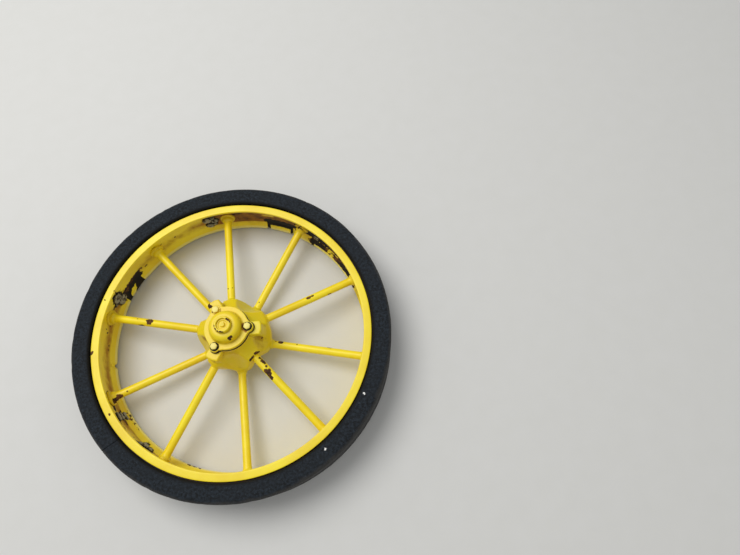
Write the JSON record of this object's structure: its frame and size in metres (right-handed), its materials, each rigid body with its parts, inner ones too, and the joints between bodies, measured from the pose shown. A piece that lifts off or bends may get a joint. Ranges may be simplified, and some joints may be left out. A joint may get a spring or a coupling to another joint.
{
  "type": "vintage tractor front wheel",
  "caption": "Front wheel of a vintage tractor: solid rubber tyre, steel channel rim, staggered round spokes, cast hub with bolted cap and taper bearings.",
  "frame": {"origin": "middle of the wheel on the floor, under the wheel axis, at the back face of the tyre", "axes": "+Z along the wheel axis towards the cap, +Y along spoke_01"},
  "size_m": [0.64, 0.64, 0.16],
  "materials": {
    "enamel": "worn gloss enamel",
    "cast_enamel": "gloss enamel over sand casting",
    "rubber": "rough cut solid rubber",
    "band_steel": "dark rusted steel",
    "weld_metal": "bare weld lumps",
    "gasket": "matt",
    "bearing_steel": "ground and greasy",
    "seal_steel": "pressed steel and felt"
  },
  "bodies": {
    "wheel": {"tyre": "rubber", "tyre_band": "band_steel", "rim": "enamel", "rim_welds": "weld_metal", "spoke_01": "enamel", "spoke_02": "enamel", "spoke_03": "enamel", "spoke_04": "enamel", "spoke_05": "enamel", "spoke_06": "enamel", "spoke_07": "enamel", "spoke_08": "enamel", "spoke_09": "enamel", "spoke_10": "enamel", "hub": "cast_enamel", "hub_cap": "cast_enamel", "cap_gasket": "gasket", "cap_plug": "enamel", "cap_bolt_1": "enamel", "cap_bolt_2": "enamel", "cap_bolt_3": "enamel", "rear_cup": "bearing_steel", "front_cup": "bearing_steel", "dust_seal": "seal_steel"},
    "rear_bearing": {"rear_cone": "bearing_steel", "rear_rollers": "bearing_steel", "rear_cage": "bearing_steel"},
    "front_bearing": {"front_cone": "bearing_steel", "front_rollers": "bearing_steel", "front_cage": "bearing_steel"}
  },
  "joints": [
    {"name": "rear_bearing_spin", "type": "hinge", "parent": "wheel", "child": "rear_bearing", "pos_m": [0, 0, 0.01925], "axis": [0, 0, 1], "continuous": true},
    {"name": "front_bearing_spin", "type": "hinge", "parent": "wheel", "child": "front_bearing", "pos_m": [0, 0, 0.11], "axis": [0, 0, 1], "continuous": true}
  ]
}
